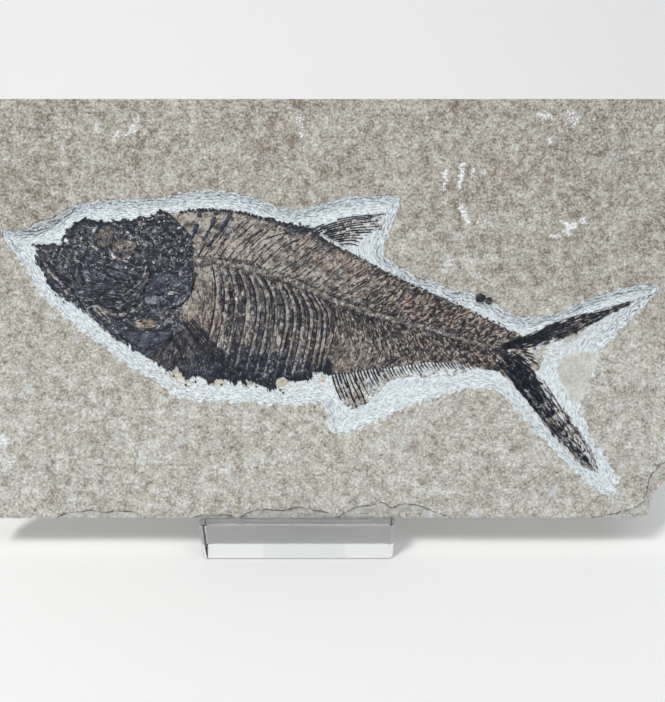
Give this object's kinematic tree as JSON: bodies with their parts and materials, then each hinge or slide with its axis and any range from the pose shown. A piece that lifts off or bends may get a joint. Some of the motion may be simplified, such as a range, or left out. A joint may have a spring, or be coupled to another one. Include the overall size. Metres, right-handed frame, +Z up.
{
  "type": "fossil fish slab",
  "caption": "Flat limestone slab with a prepared fossil fish in low relief on its face, leaning back on a small clear display stand.",
  "frame": {"origin": "middle of the front bar's underside, on the surface that the stand rests on", "axes": "+X along the slab to the viewer's right, -Y out of the side that shows the fish, +Z up"},
  "size_m": [0.28, 0.0892, 0.172],
  "materials": {
    "limestone": "matte",
    "dark_bone": "satin",
    "body_film": "satin",
    "fin": "satin",
    "mineral": "satin",
    "clear_acrylic": "gloss"
  },
  "bodies": {
    "root": {"limestone_slab": "limestone", "skull": "dark_bone", "trunk": "body_film", "dorsal_fin": "fin", "anal_fin": "fin", "tail_fin": "dark_bone", "mineral_nodule": "mineral", "stand_front_bar": "clear_acrylic", "stand_easel": "clear_acrylic"}
  },
  "joints": []
}
